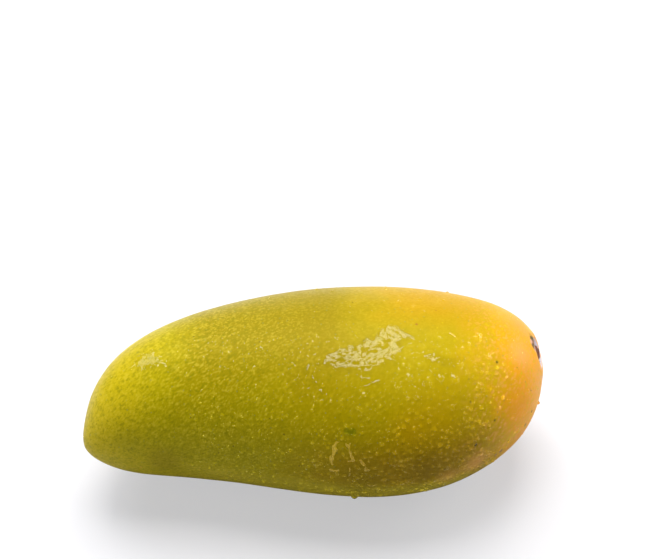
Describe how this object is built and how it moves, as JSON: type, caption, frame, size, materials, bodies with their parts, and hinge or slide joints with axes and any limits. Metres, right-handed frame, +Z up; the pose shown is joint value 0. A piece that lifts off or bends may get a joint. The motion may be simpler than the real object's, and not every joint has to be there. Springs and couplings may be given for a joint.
{
  "type": "mango",
  "caption": "Whole ripe mango lying on its cheek, long and slightly bent, with the dry stub of its stalk in the hollow at one end.",
  "frame": {"origin": "under the middle of the fruit's box, on the surface that it rests on", "axes": "+X along the fruit towards the stalk end, +Y towards its back edge, +Z up through its cheeks"},
  "size_m": [0.181, 0.089, 0.0723],
  "materials": {
    "skin": "waxy satin, olive green to yellow and orange",
    "dry_stalk": "dry and rough",
    "water": "clear, wet"
  },
  "bodies": {
    "root": {"fruit": "skin", "stem_stub": "dry_stalk"}
  },
  "joints": []
}
